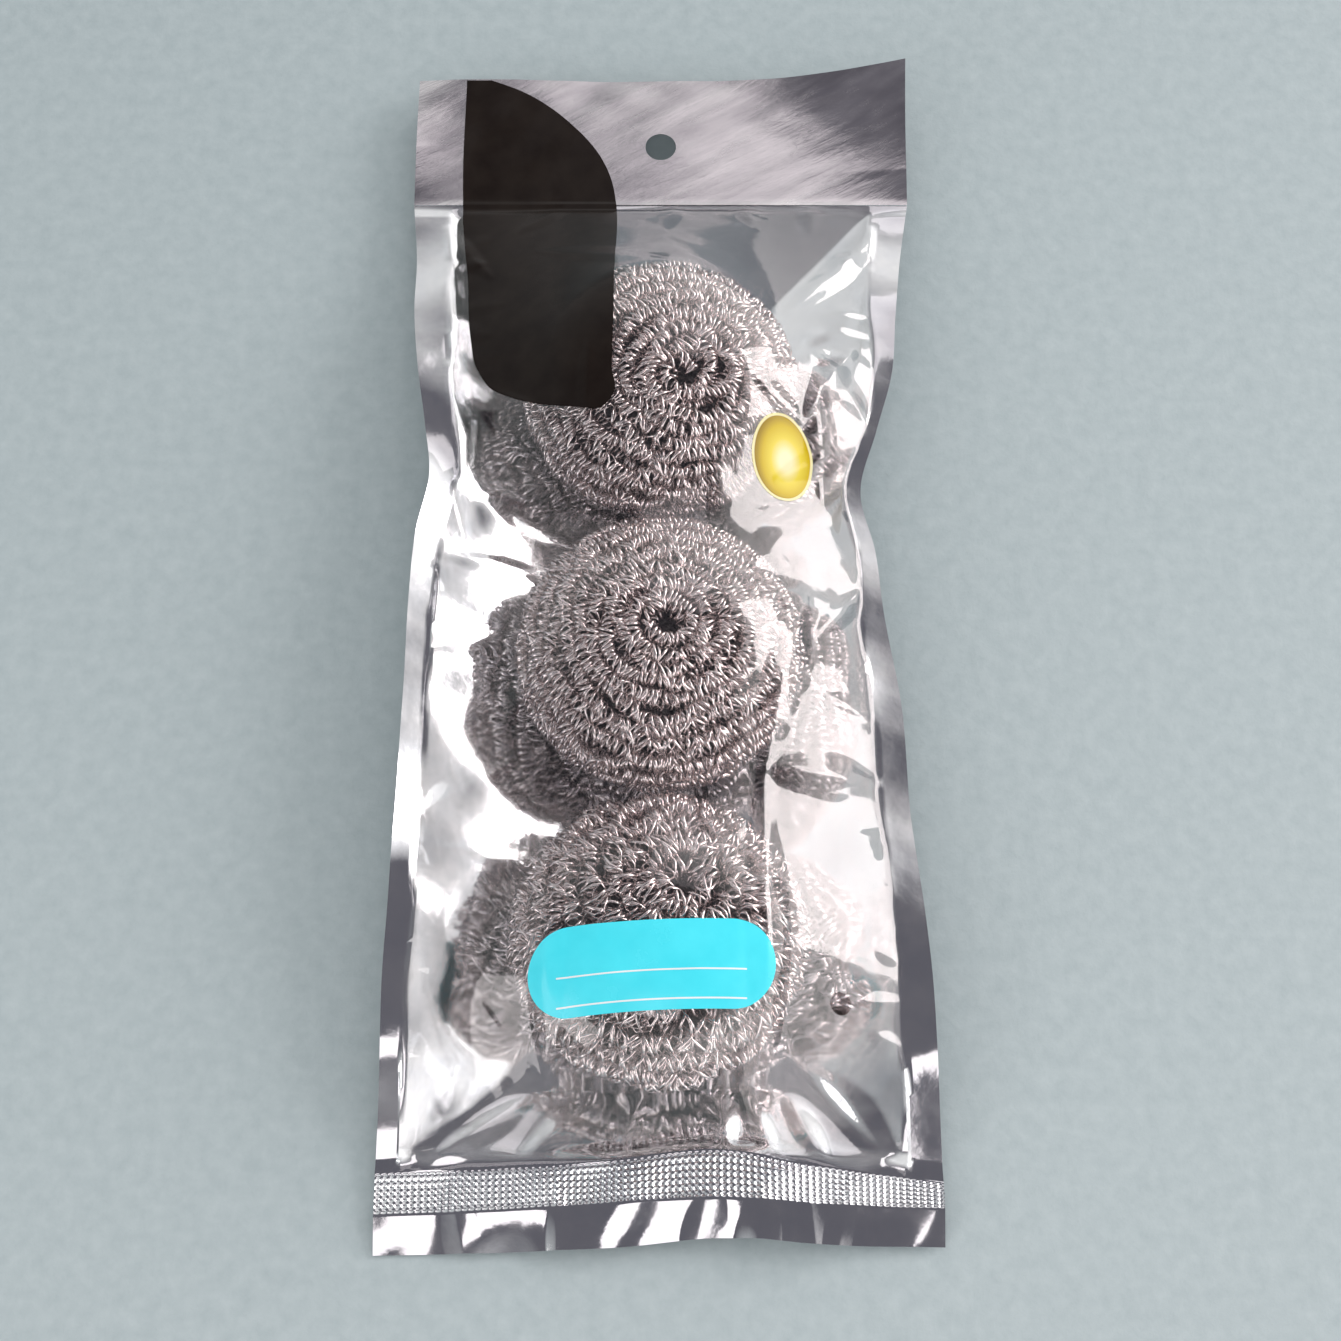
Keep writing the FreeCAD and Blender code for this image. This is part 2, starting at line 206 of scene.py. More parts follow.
# %% World
world = bpy.data.worlds.new("dim_studio")
bpy.context.scene.world = world
world.use_nodes = True
sky = world.node_tree
heading = sky.nodes.new("ShaderNodeSeparateXYZ")
sky.links.new(sky.nodes.new("ShaderNodeTexCoord").outputs["Generated"], heading.inputs["Vector"])
WALLS = [(0.0, (0.46, 0.49, 0.50)), (0.45, (0.80, 0.80, 0.80)),
         (0.75, (1.55, 1.52, 1.51)), (1.0, (2.0, 1.96, 1.95))]
CEILING = [(0.0, (1, 1, 1)), (0.50, (1, 1, 1)), (0.66, (0.50, 0.50, 0.50)), (0.80, (0, 0, 0))]
walls = add_ramp(sky, add_range(sky, heading.outputs["X"], -0.9, 0.9, 0, 1), WALLS)
wall_share = add_ramp(sky, heading.outputs["Z"], CEILING)
seen_room = add_mix(sky, wall_share, (0.130, 0.127, 0.147, 1), walls)
diffuse_ray = sky.nodes.new("ShaderNodeLightPath").outputs["Is Diffuse Ray"]
room = add_mix(sky, diffuse_ray, seen_room, (0.80, 0.79, 0.79, 1))
sky.links.new(room, sky.nodes["Background"].inputs["Color"])
print("room of", len(sky.nodes), "nodes")

# %% Table
table, tree, shader, place = new_material("table_top")
mottle = add_noise(tree, place, 260, 6, 0.62)
across = tree.nodes.new("ShaderNodeSeparateXYZ")
tree.links.new(place, across.inputs["Vector"])
# Paler towards the right and the front is painted light, for the lamps' falloff; the mottle is the table's
# own.
mottle_and_painted_light = add_math(tree, "MULTIPLY_ADD", across.outputs["X"], 0.4, mottle)
mottle_and_painted_light = add_math(tree, "MULTIPLY_ADD", across.outputs["Y"], -0.9, mottle_and_painted_light)
TABLE_TONES = [(0.1, (0.335, 0.405, 0.424)), (0.9, (0.457, 0.528, 0.546))]
tree.links.new(add_ramp(tree, mottle_and_painted_light, TABLE_TONES), shader.inputs["Base Color"])
tree.links.new(add_bump(tree, mottle, 0.0006, 0.35), shader.inputs["Normal"])
shader.inputs["Roughness"].default_value = 0.75

floor_mesh = bpy.data.meshes.new("table_sheet")
TABLE_REACH = 3
table_corners = [(x * TABLE_REACH, y * TABLE_REACH, 0) for x, y in ((-1, -1), (1, -1), (1, 1), (-1, 1))]
floor_mesh.from_pydata(table_corners, [], [(0, 1, 2, 3)])
floor_mesh.materials.append(table)
floor = bpy.data.objects.new("table_sheet", floor_mesh)
bpy.context.scene.collection.objects.link(floor)
print("table of", 2 * TABLE_REACH, "m a side")

# %% [markdown]
# ## Helpers for film
#
# Film is a sheet a few hundredths of a millimetre thick. A modifier could thicken a flat mesh, but a closed
# shell made in one go also gives every hole its rim: the grid is moved half a thickness to both sides along
# its normals, and each edge that belongs to only one kept cell gets a side face.

# %% Closed film from a grid


def add_piece(name, points, faces, finish, sharp=50):
    """A mesh object from points in millimetres and arrays of faces; edges over sharp degrees stay crisp."""
    mesh = bpy.data.meshes.new(name)
    mesh.vertices.add(len(points))
    mesh.vertices.foreach_set("co", (points * MM).astype(np.float32).ravel())
    corners = np.concatenate([array.ravel() for array in faces]).astype(np.int32)
    sizes = np.concatenate([np.full(len(array), array.shape[1]) for array in faces])
    mesh.loops.add(len(corners))
    mesh.loops.foreach_set("vertex_index", corners)
    mesh.polygons.add(len(sizes))
    mesh.polygons.foreach_set("loop_start", (np.cumsum(sizes) - sizes).astype(np.int32))
    mesh.update(calc_edges=True)
    mesh.shade_smooth()
    mesh.set_sharp_from_angle(angle=math.radians(sharp))
    mesh.materials.append(finish)
    piece = bpy.data.objects.new(name, mesh)
    bpy.context.scene.collection.objects.link(piece)
    low, high = points.min(0).round(1), points.max(0).round(1)
    print(f"{name}: {int((sizes - 2).sum())} triangles, from {low} to {high}")
    return piece


def normals_of(grid):
    """Unit normals of a grid: the cross product of its steps across and along."""
    normal = np.cross(np.gradient(grid, axis=1), np.gradient(grid, axis=0))
    return normal / np.linalg.norm(normal, axis=2, keepdims=True)


def film_shell(grid, thickness, kept=None):
    """Closed film: the grid moved half a thickness to each side, with a rim along every open edge."""
    rows, columns = grid.shape[:2]
    half = normals_of(grid) * thickness / 2
    points = np.concatenate([(grid + half).reshape(-1, 3), (grid - half).reshape(-1, 3)])
    corner = np.arange(rows * columns).reshape(rows, columns)
    cells = np.stack([corner[:-1, :-1], corner[:-1, 1:], corner[1:, 1:], corner[1:, :-1]], -1)
    cells = cells.reshape(-1, 4) if kept is None else cells[kept]
    edges = np.concatenate([cells[:, [k, (k + 1) % 4]] for k in range(4)])
    count = rows * columns
    open_edge = ~np.isin(edges[:, 0] * count + edges[:, 1], edges[:, 1] * count + edges[:, 0])
    a, b = edges[open_edge].T
    quads = np.concatenate([cells, cells[:, ::-1] + count, np.stack([b, a, a + count, b + count], -1)])
    used, quads = np.unique(quads, return_inverse=True)
    return points[used], [quads.reshape(-1, 4)]


# %% Smooth lines, rough sheets and folds


def smooth_line(at, knots):
    """Smooth curve through (place, value) knots: cubics between them, with slopes from the neighbours."""
    places, values = np.array(knots, float).T
    slopes = np.gradient(values, places)
    i = np.clip(np.searchsorted(places, at) - 1, 0, len(places) - 2)
    gap = places[i + 1] - places[i]
    t = np.clip((at - places[i]) / gap, 0, 1)
    start, end = (1 + 2 * t) * (1 - t) ** 2, t * t * (3 - 2 * t)
    pull = gap * (slopes[i] * t * (1 - t) ** 2 - slopes[i + 1] * t * t * (1 - t))
    return start * values[i] + end * values[i + 1] + pull


def wander(along, reach, seed):
    """Smooth random line of about -1 to 1: a sum of sines with periods near reach."""
    rng = np.random.default_rng(seed)
    waves = 2 * np.pi / reach * rng.uniform(0.6, 1.7, 7)
    return np.sin(np.multiply.outer(along, waves) + rng.uniform(0, 2 * np.pi, 7)).sum(-1) / 3.2


def rough(x, y, reach, seed):
    """Smooth random sheet of about -1 to 1: a sum of plane waves in random directions."""
    rng = np.random.default_rng(seed)
    total = 0
    for heading_angle, stretch, start in rng.uniform((0, 0.6, 0), (np.pi, 1.7, 2 * np.pi), (9, 3)):
        run = x * np.cos(heading_angle) + y * np.sin(heading_angle)
        total = total + np.sin(2 * np.pi / reach * stretch * run + start)
    return total / 3.6


def tents(x, y, folds):
    """Sum of straight folds, each height * belly * (1 - distance / (width * belly)) from a segment.

    The belly is one in the middle and a quarter at the ends, where a fold is lower and narrower.
    """
    lift = np.zeros_like(x)
    for x0, y0, x1, y1, height, width in folds:
        run = math.hypot(x1 - x0, y1 - y0)
        ux, uy = (x1 - x0) / run, (y1 - y0) / run
        along = np.clip(((x - x0) * ux + (y - y0) * uy) / run, 0, 1)
        off = np.hypot((x - x0) * uy - (y - y0) * ux, 0.25)
        past = np.abs((x - x0) * ux + (y - y0) * uy - along * run)
        belly = 0.25 + 0.75 * np.sin(np.pi * along)
        lift += height * belly * np.clip(1 - np.hypot(off, past) / (width * belly), 0, 1)
    return lift


# %% [markdown]
# ## The pocket
#
# The pocket is two films sealed along both sides. Its outline is drawn in where the balls pull the films
# apart, more on the right than on the left. A cloth simulation could drape the clear film over the balls, but
# a stretched film is simpler than cloth: it is a surface whose height at each point is the mean of its
# neighbours, held up by the balls and held down by the seals. Repeating that mean over the whole array a few
# thousand times lets the film settle, with a little air pressure added.

# %% The pocket's outline and the height of its side seals
LEFT_EDGE = [(-123.5, 60), (-105, 59), (-84, 58.6), (-71, 57.8), (-51, 56.8), (-24, 56), (-3, 55.7),
             (12, 54.8), (26, 52.3), (41, 54), (56, 56.3), (72, 58), (88, 58.4), (105, 60)]
RIGHT_EDGE = [(-123.5, 60), (-105, 59), (-84, 58), (-71, 57), (-51, 55), (-24, 53.6), (-3, 50.3),
              (12, 48.9), (26, 46), (41, 50), (56, 54.1), (72, 55.6), (88, 57.4), (105, 60)]
SEAM_HEIGHT = [(-123.5, 5), (-112, 9), (-95, 13), (-80, 14.5), (-47, 14), (-15, 15.2), (17, 14.5),
               (50, 15.2), (75, 13.0), (95, 9.5), (105, 8)]
LEFT_LIFT = [(-123.5, 0), (-105, 0.3), (-80, 1), (50, 1), (85, 0.3), (105, 0)]
LEFT_SEAL = [(-123.5, 5.0), (-100, 4.6), (-60, 4.8), (0, 5.0), (30, 6.0), (60, 7.5), (105, 8.0)]
RIGHT_SEAL = [(-123.5, 7.5), (-80, 7.0), (-40, 7.0), (-10, 6.5), (8, 4.5), (25, 3.5), (45, 3.0), (60, 5.0),
              (80, 7.0), (105, 8.0)]
LEFT_TILT = [(-123.5, 0), (-100, 0.05), (-72, 0.1), (-60, 0.5), (-32, 0.5), (-22, 0.45), (-6, 0.45),
             (2, 0.5), (24, 0.5), (34, 0.15), (60, 0), (105, 0)]
RIGHT_TILT = [(-123.5, 0), (-90, 0), (-70, -0.22), (-40, -0.27), (-10, -0.27), (10, -0.25), (45, -0.2),
              (60, -0.1), (80, 0), (105, 0)]
SEAL_SHIFT = [(-60, -3.0), (-30, -1.9), (-11, -0.8), (13, 1.4), (33, -1.6), (60, -5.0)]
SEAL_HEIGHT = [(-60, 3.4), (-30, 4.4), (-8, 5.8), (14, 6.6), (34, 4.8), (60, 3.0)]
film_rows, pocket_columns, seal_columns = 290, 150, 8

share = np.concatenate([np.zeros(seal_columns), np.linspace(0, 1, pocket_columns), np.ones(seal_columns)])
out = np.concatenate([np.linspace(-1, 0, seal_columns + 1)[:-1], np.zeros(pocket_columns),
                      np.linspace(0, 1, seal_columns + 1)[1:]])
film_y = np.linspace(crimp_y, crease_y - 0.05, film_rows)[:, None] + 0 * share


def seal_corners(y):
    """Where the pocket ends at the left and the right side seal: the bag's edge less the seal's width."""
    left = -smooth_line(y, LEFT_EDGE) + smooth_line(y, LEFT_SEAL)
    return left, smooth_line(y, RIGHT_EDGE) - smooth_line(y, RIGHT_SEAL)


seal_left, seal_right = seal_corners(film_y)
seal_run = np.abs(out) * np.where(out < 0, smooth_line(film_y, LEFT_SEAL), smooth_line(film_y, RIGHT_SEAL))
seal_tilt = np.where(out < 0, smooth_line(film_y, LEFT_TILT), smooth_line(film_y, RIGHT_TILT))
film_x = seal_left + (seal_right - seal_left) * share + np.sign(out) * seal_run
LEFT_RISE, LOWER_END = 3.2, -100
left_rise = np.where(film_x < 0, LEFT_RISE, 0.0) * smooth_line(film_y, LEFT_LIFT)
seam_z = smooth_line(film_y, SEAM_HEIGHT) + left_rise
lower_end = np.clip((LOWER_END - film_y) / (LOWER_END - crimp_y), 0, 1) ** 2
plan_y = film_y + smooth_line(film_x, SEAL_SHIFT) * lower_end
end_z = smooth_line(film_x, SEAL_HEIGHT)
print("film grid", film_x.shape, "narrowest pocket", float((seal_right - seal_left).min()))

# %% The clear film settles over the balls
BALL_A, BALL_B = 32.4, 18.2
film_room = 0.7


def over_balls(x, y, room):
    """Top of the balls grown by room, cz + b sqrt(1 - r^2 / a^2), or far below where there is none."""
    height = np.full_like(x, -50.0)
    for cx, cy, cz in ball_centres.values():
        inside = 1 - ((x - cx) ** 2 + (y - cy) ** 2) / (BALL_A + room) ** 2
        crown = cz + (BALL_B + room) * np.sqrt(np.maximum(inside, 0))
        height = np.where(inside > 0, np.maximum(height, crown), height)
    return height


core = slice(seal_columns, seal_columns + pocket_columns)
px, py = film_x[:, core], film_y[:, core]
ball_top = over_balls(px, py, film_room)
step_x = ((seal_right - seal_left) / (pocket_columns - 1))[:, core]
step_y = film_y[1, 0] - film_y[0, 0]
weight_x = 1 / step_x[1:-1, 1:-1] ** 2
weight_y = 1 / step_y ** 2
pressure = 0.006
edge_z = seam_z[:, core]
relaxed = np.maximum(edge_z, ball_top)
relaxed[0] = end_z[0, core]
relaxed[-1] = header_z
SWEEPS = 2600
for sweep in range(SWEEPS):
    sideways = weight_x * (relaxed[1:-1, :-2] + relaxed[1:-1, 2:])
    lengthways = weight_y * (relaxed[:-2, 1:-1] + relaxed[2:, 1:-1])
    mean = (sideways + lengthways + pressure) / (2 * weight_x + 2 * weight_y)
    settled = np.maximum(mean, ball_top[1:-1, 1:-1])
    last_change = float(np.abs(settled - relaxed[1:-1, 1:-1]).max())
    relaxed[1:-1, 1:-1] = settled
print("film settled: crown", round(float(relaxed.max()), 2), "last change", last_change)

# %% [markdown]
# Real film also carries folds: long ridges that fan out from the corners of the seals, short gathers along
# the side seals, and crumples in the flanks. Each is a tent-shaped ridge along a line. The large ones follow
# the photograph, and the small ones are scattered with a fixed seed. A row of numbers is one fold: its two
# ends in x and y, its height and its width.

# %% Folds of the clear film
BIG_FOLDS = [
    (-54.7, -126, -27.0, -108.0, 1.6, 4.5), (58.0, -129, 22.0, -114.5, 1.5, 4.0),
    (14.4, -125, 14.0, -110, 2.4, 4.5), (58.0, 104.0, 29.0, 66.0, 1.8, 4.0),
    (-58.0, 103.0, -40.0, 80.0, 1.2, 3.5), (4.0, 111, 2.0, 95, 0.8, 4.0),
    (20.0, 111, 22.0, 97, 0.9, 4.2), (37.0, 111, 36.0, 95, 0.8, 4.0),
    (46.0, 62, 33.0, 40.0, 1.6, 3.6), (45.0, 36.0, 26.0, 24.0, 1.5, 3.4),
    (46.4, 2.0, 34.0, -14.0, 1.3, 3.2), (47.0, -44.0, 23.0, -45.0, 1.8, 6.0),
    (-49.0, 27.0, -31.0, 17.0, 1.6, 3.6), (-52.0, 60.0, -38.0, 36.0, 1.2, 3.2),
    (-50.0, 6.0, -37.0, -12.0, 1.0, 3.0), (-51.0, -52.0, -32.0, -44.0, 1.4, 3.8),
    (-36.0, 46.0, -20.0, 30.0, 0.9, 2.8),
]
CREASES = [
    (32.3, -4.0, 22.4, -45.0, 1.2, 5.0), (22.3, -45.0, 22.9, -116.0, 1.3, 5.0),
    (-23.9, -60.0, -23.3, -108.0, 0.9, 5.0), (35.8, 52.0, 37.0, 20.0, 1.1, 4.0),
    (36.0, 57.0, 48.0, 42.5, 1.0, 4.0), (21.7, 46.0, 33.0, 38.0, 0.7, 3.0),
]
rng = np.random.default_rng(11)
gathers = []
for gather_y in np.arange(-112, 98, 8.5):
    start_y = gather_y + rng.uniform(-4, 4)
    for side, start_x in zip((-1, 1), seal_corners(np.array([start_y]))):
        reach = rng.uniform(6, 15)
        gathers.append((start_x[0], start_y, start_x[0] - side * reach, start_y + rng.uniform(-5, 5),
                        rng.uniform(0.15, 0.60), rng.uniform(2.0, 3.6)))
crumples = []
CRUMPLE_LOW, CRUMPLE_HIGH = (-46, -118, 0, 10, 0.08, 2.4), (46, 100, np.pi, 34, 0.34, 5.0)
for x0, y0, angle, reach, height, width in rng.uniform(CRUMPLE_LOW, CRUMPLE_HIGH, (44, 6)):
    calm = 0.25 if 18 < x0 < 46 and -112 < y0 < -48 else 1.0
    crumples.append((x0, y0, x0 + reach * np.cos(angle), y0 + reach * np.sin(angle), height * calm, width))

front_z = np.zeros_like(film_x)
front_z[:, core] = relaxed + tents(px, py, BIG_FOLDS) + tents(px, py, CREASES) + tents(px, py, crumples)
front_z[:, core] += 0.12 * rough(px, py, 26, 3)
seal_wave = 0.45 * rough(film_x, film_y, 46, 5) + 0.03 * rough(film_x, film_y, 12, 6)
seal_flat = seam_z + (end_z - seam_z) * lower_end + seal_tilt * seal_run * (1 - lower_end) + seal_wave
near_seal = np.clip(1 - np.minimum(film_x - seal_left, seal_right - film_x) / 6, 0, 1)
front_z = np.where(out != 0, seal_flat, front_z + seal_wave * near_seal)
front_z += tents(film_x, film_y, gathers)
front_z[:, core] = np.maximum(front_z[:, core], over_balls(px, py, film_room - 0.3))
ends = np.clip(np.minimum(film_y - crimp_y, crease_y - film_y) / 3, 0, 1)
front_z = ends * front_z + (1 - ends) * np.where(film_y < 0, end_z, header_z)
front_grid = np.stack([film_x, plan_y, front_z], -1)
print("clear film from", front_z.min().round(2), "to", front_z.max().round(2))

# %% [markdown]
# The clear film is a mirror as faint as a window pane: face on it throws back about a sixteenth of the light
# and lets the rest through. Glass with refraction would hide the lamps from everything inside, so the film
# is instead a bright metal whose opacity is the share that a pane reflects, high at a glancing angle.
# The crinkle that all films share is a node group, so that each finish can use it with its own values.

# %% Crinkle group
crinkle = bpy.data.node_groups.new("film_crinkle", "ShaderNodeTree")
crinkle.interface.new_socket("Place", in_out="INPUT", socket_type="NodeSocketVector")
crinkle.interface.new_socket("Fine Scale", in_out="INPUT", socket_type="NodeSocketFloat")
crinkle.interface.new_socket("Height", in_out="OUTPUT", socket_type="NodeSocketFloat")
crinkle.interface.new_socket("Cloud", in_out="OUTPUT", socket_type="NodeSocketFloat")
inlet = crinkle.nodes.new("NodeGroupInput")
outlet = crinkle.nodes.new("NodeGroupOutput")
fine = add_noise(crinkle, inlet.outputs["Place"], 300, 2, 0.45)
crinkle.links.new(inlet.outputs["Fine Scale"], fine.node.inputs["Scale"])
broad = add_noise(crinkle, inlet.outputs["Place"], 45, 3, 0.5)
crinkle.links.new(add_math(crinkle, "MULTIPLY_ADD", fine, 0.10, broad), outlet.inputs["Height"])
crinkle.links.new(add_noise(crinkle, inlet.outputs["Place"], 90, 5, 0.6), outlet.inputs["Cloud"])
print("crinkle group of", len(crinkle.nodes), "nodes")


def add_crinkle(tree, place, fine_scale):
    """Places the crinkle group in a material's tree and gives its node."""
    node = tree.nodes.new("ShaderNodeGroup")
    node.node_tree = crinkle
    node.inputs["Fine Scale"].default_value = fine_scale
    tree.links.new(place, node.inputs["Place"])
    return node


# %% Clear film finish
clear_film, tree, shader, place = new_material("clear_film", metallic=1.0)
wrinkle = add_crinkle(tree, place, 420)
normal = add_bump(tree, wrinkle.outputs["Height"], 0.0003, 0.4)
tree.links.new(normal, shader.inputs["Normal"])
tree.links.new(add_range(tree, wrinkle.outputs["Cloud"], 0.3, 0.7, 0.03, 0.09), shader.inputs["Roughness"])
pane = tree.nodes.new("ShaderNodeLayerWeight")
pane.inputs["Blend"].default_value = 0.5
tree.links.new(normal, pane.inputs["Normal"])
glance = add_math(tree, "POWER", pane.outputs["Facing"], 4.5)
FACE_ON, GLANCING = 0.058, 0.9
tree.links.new(add_math(tree, "MULTIPLY_ADD", glance, GLANCING, FACE_ON), shader.inputs["Alpha"])
shader.inputs["Base Color"].default_value = (1, 1, 1, 1)
print("clear film throws back", FACE_ON, "face on, in", len(tree.nodes), "nodes")

# %% [markdown]
# The print and the label lie on this film, so its height has to be read between the grid's points. A straight
# reading between four corners would show as facets in the gloss, so a smooth rule takes four points each way.
# The vent hole is a block of cells that is dropped, with the grid round it bent from square to circle.

# %% Reading the film's height


def four_point(t):
    """Weights of four neighbours for a smooth reading at t between the middle two."""
    weights = [((2 - t) * t - 1) * t, (3 * t - 5) * t * t + 2, ((4 - 3 * t) * t + 1) * t, (t - 1) * t * t]
    return np.stack(weights, -1) / 2


def film_height(x, y):
    """Height of the clear film at plan points: rows from y, columns from the share between the seals."""
    row = (y - film_y[0, 0]) / step_y
    left, right = seal_corners(y)
    column = (x - left) / (right - left) * (pocket_columns - 1) + seal_columns
    row = np.clip(row, 1, film_rows - 3)
    column = np.clip(column, 1, film_x.shape[1] - 3)
    i, j = row.astype(int), column.astype(int)
    wide, tall = four_point(column - j), four_point(row - i)
    total = 0
    for a in range(4):
        for b in range(4):
            total = total + tall[..., a] * wide[..., b] * front_z[i + a - 1, j + b - 1]
    return total


# %% The clear film with its vent hole
FILM_THICKNESS = 0.06
vent_x, vent_y, vent_r = 38.0, -94.0, 2.3
half_rows, half_columns, bent_reach = 2.5, 3.5, 2.6
vent_row = int(np.argmin(np.abs(film_y[:, 0] - vent_y)))
vent_column = int(np.argmin(np.abs(film_x[vent_row] - vent_x)))
rows_off = (np.arange(film_rows) - vent_row - 0.5)[:, None] / half_rows
columns_off = (np.arange(film_x.shape[1]) - vent_column - 0.5)[None, :] / half_columns
ring = np.maximum(np.abs(rows_off), np.abs(columns_off))
round_share = np.clip((bent_reach - ring) / (bent_reach - 1), 0, 1)
bearing = np.hypot(rows_off, columns_off) + 1e-9
round_x = vent_x + vent_r * ring * columns_off / bearing
round_y = vent_y + vent_r * ring * rows_off / bearing
front_grid[..., 0] += round_share * (round_x - front_grid[..., 0])
front_grid[..., 1] += round_share * (round_y - front_grid[..., 1])
bent = round_share > 0
front_grid[bent, 2] = film_height(front_grid[bent, 0], front_grid[bent, 1])
in_rows = np.abs(rows_off[:-1] + 0.5 / half_rows) < 0.99
in_columns = np.abs(columns_off[:, :-1] + 0.5 / half_columns) < 0.99
kept = ~(in_rows & in_columns)
front_film = add_piece("clear_front_film", *film_shell(front_grid, FILM_THICKNESS, kept), clear_film)
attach(front_film, "bag")
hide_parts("front_film")

# %% [markdown]
# The back film is metallised, so it shows as a mirror through the clear film. It lies flat on the table under
# the balls and rises to the side seals at about twenty-eight degrees. Each of its planes is simple, and a
# rounded maximum joins them without a kink. A few folds fan out over its foot, above the bottom seal.

# %% Silver finish
silver, tree, shader, place = new_material("silver_film", metallic=1.0)
wrinkle = add_crinkle(tree, place, 500)
tree.links.new(add_bump(tree, wrinkle.outputs["Height"], 0.0003, 0.5), shader.inputs["Normal"])
tree.links.new(add_range(tree, wrinkle.outputs["Cloud"], 0.3, 0.7, 0.05, 0.13), shader.inputs["Roughness"])
SILVER_TONES = [(0.35, (0.80, 0.81, 0.84)), (0.65, (0.89, 0.89, 0.90))]
tree.links.new(add_ramp(tree, wrinkle.outputs["Cloud"], SILVER_TONES), shader.inputs["Base Color"])
print("silver film in", len(tree.nodes), "nodes")

# %% The back film


def upper(a, b, rounding):
    """The larger of two heights, rounded at the crossing: (a + b + sqrt((a - b)^2 + rounding^2)) / 2."""
    return (a + b + np.sqrt((a - b) ** 2 + rounding ** 2)) / 2


FLANK_SLOPE, END_SLOPE = 0.53, 0.34
seal_gap = np.minimum(film_x - seal_left, seal_right - film_x)
flank = seam_z - FLANK_SLOPE * seal_gap
foot = 5.0 - END_SLOPE * (film_y - crimp_y)
head = header_z - END_SLOPE * (crease_y - film_y)
back_z = upper(upper(flank, foot, 1.5), upper(head, 0.10 + 0 * head, 0.4), 0.6)
rng = np.random.default_rng(23)
back_folds = []
FOLD_LOW, FOLD_HIGH = (22, -118, -0.6, 6, 0.1, 2.2), (50, 100, 0.6, 22, 0.6, 5.0)
for x0, y0, angle, reach, height, width in rng.uniform(FOLD_LOW, FOLD_HIGH, (36, 6)):
    side = rng.choice((-1, 1))
    x1, y1 = x0 - reach * np.cos(angle), y0 + reach * np.sin(angle)
    back_folds.append((side * x0, y0, side * x1, y1, height, width))
FOOT_FOLDS = [
    (-48, -122, -26, -109, 1.2, 4.0), (-31, -125, -13, -109, 0.9, 3.5), (-8, -123, -4, -107, 0.8, 3.0),
    (14, -125, 13, -107, 1.7, 4.0), (25, -125, 18, -109, 0.9, 3.0), (36, -125, 26, -107, 1.0, 3.5),
    (50, -122, 34, -105, 1.1, 4.0),
]
back_folds += FOOT_FOLDS
lift_share = np.clip((back_z - 0.4) / 3, 0, 1)
back_z = back_z + lift_share * (tents(film_x, film_y, back_folds) + 0.35 * rough(film_x, film_y, 30, 8))
back_z = np.where(out != 0, front_z - 0.1, np.minimum(back_z, front_z - 0.1))
under = 2 * ball_centres["scrubber_middle"][2] - over_balls(film_x, film_y, 0.2)
back_z = np.minimum(back_z, np.where(under > 40, 99, under))
back_z = ends * back_z + (1 - ends) * (np.where(film_y < 0, end_z, header_z) - 0.1)
back_grid = np.stack([film_x, plan_y, back_z], -1)
back_film = add_piece("mirror_back_film", *film_shell(back_grid, FILM_THICKNESS), silver)
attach(back_film, "bag")
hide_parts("back_film")

# %% [markdown]
# ## Bottom seal and tail
#
# Heated jaws press the two films together into a knurled band: a waffle of small square pits about one and a
# half millimetres apart. A bump map would be enough from afar, but the band is cheap to model: the depth is
# the size of the product of two waves, one across and one down. Below it hangs a plain tail with slow waves.

# %% Knurled band and tail
CRIMP_SHIFT = [(-60, -2.8), (-30, -1.8), (-11, -0.7), (13, 0.4), (33, -0.6), (60, -1.5)]
TAIL_SHIFT = [(-60, -2.4), (-30, -1.8), (-11, -1.2), (13, 0.8), (33, -0.4), (60, -0.8)]
TAIL_HEIGHT = [(-60, 0.8), (-40, 1.0), (-31, 1.7), (-24, 3.4), (-12, 4.0), (-4, 3.6), (8, 4.1), (16, 4.5),
               (21, 6.0), (30, 5.2), (36, 4.4), (45, 2.4), (60, 1.3)]
pits_across, pits_down = 84, 7
band_rows = np.linspace(0, crimp_height, 6 * pits_down + 1)
tail_rows = np.linspace(crimp_height, crimp_height + tail_height, 24)[1:]
band_columns = np.linspace(-half_width, half_width, 6 * pits_across + 1)
down = np.concatenate([band_rows, tail_rows])[:, None] + 0 * band_columns
band_x = band_columns + 0 * down
in_band = np.clip(np.minimum(down - 0.4, crimp_height - 0.3 - down) / 0.5, 0, 1)
fold = np.clip((down - crimp_height) / tail_height, 0, 1)
band_run = np.clip(down / crimp_height, 0, 1)
low_shift = smooth_line(band_x, CRIMP_SHIFT) * (1 - fold) + smooth_line(band_x, TAIL_SHIFT) * fold
shift = smooth_line(band_x, SEAL_SHIFT) * (1 - band_run) + low_shift * band_run
band_y = crimp_y - down + shift
band_z = smooth_line(band_x, SEAL_HEIGHT) * (1 - fold) + smooth_line(band_x, TAIL_HEIGHT) * fold
across_wave = np.sin(np.pi * pits_across * (band_x + half_width) / (2 * half_width))
down_wave = np.sin(np.pi * pits_down * down / crimp_height)
pit_depth = 0.40 * in_band * np.abs(across_wave * down_wave)
sway = 0.55 * rough(band_x, down, 26, 12) * np.clip(down / 3, 0, 1)
band_z = band_z - pit_depth + sway
rng = np.random.default_rng(31)
PLEATS_AT = (-44, -21, 12, 22, 31, 40)
pleats = [(x0, crimp_y - 5, x0 + rng.uniform(-6, 6), tail_y - 10,
           rng.uniform(0.3, 0.9), rng.uniform(2.5, 5.0)) for x0 in PLEATS_AT]
band_z = band_z + tents(band_x, band_y, pleats)
band_grid = np.stack([band_x, band_y, np.maximum(band_z, 0.3)], -1)[::-1]
bottom_seal = add_piece("knurled_bottom_seal", *film_shell(band_grid, 2 * FILM_THICKNESS), silver)
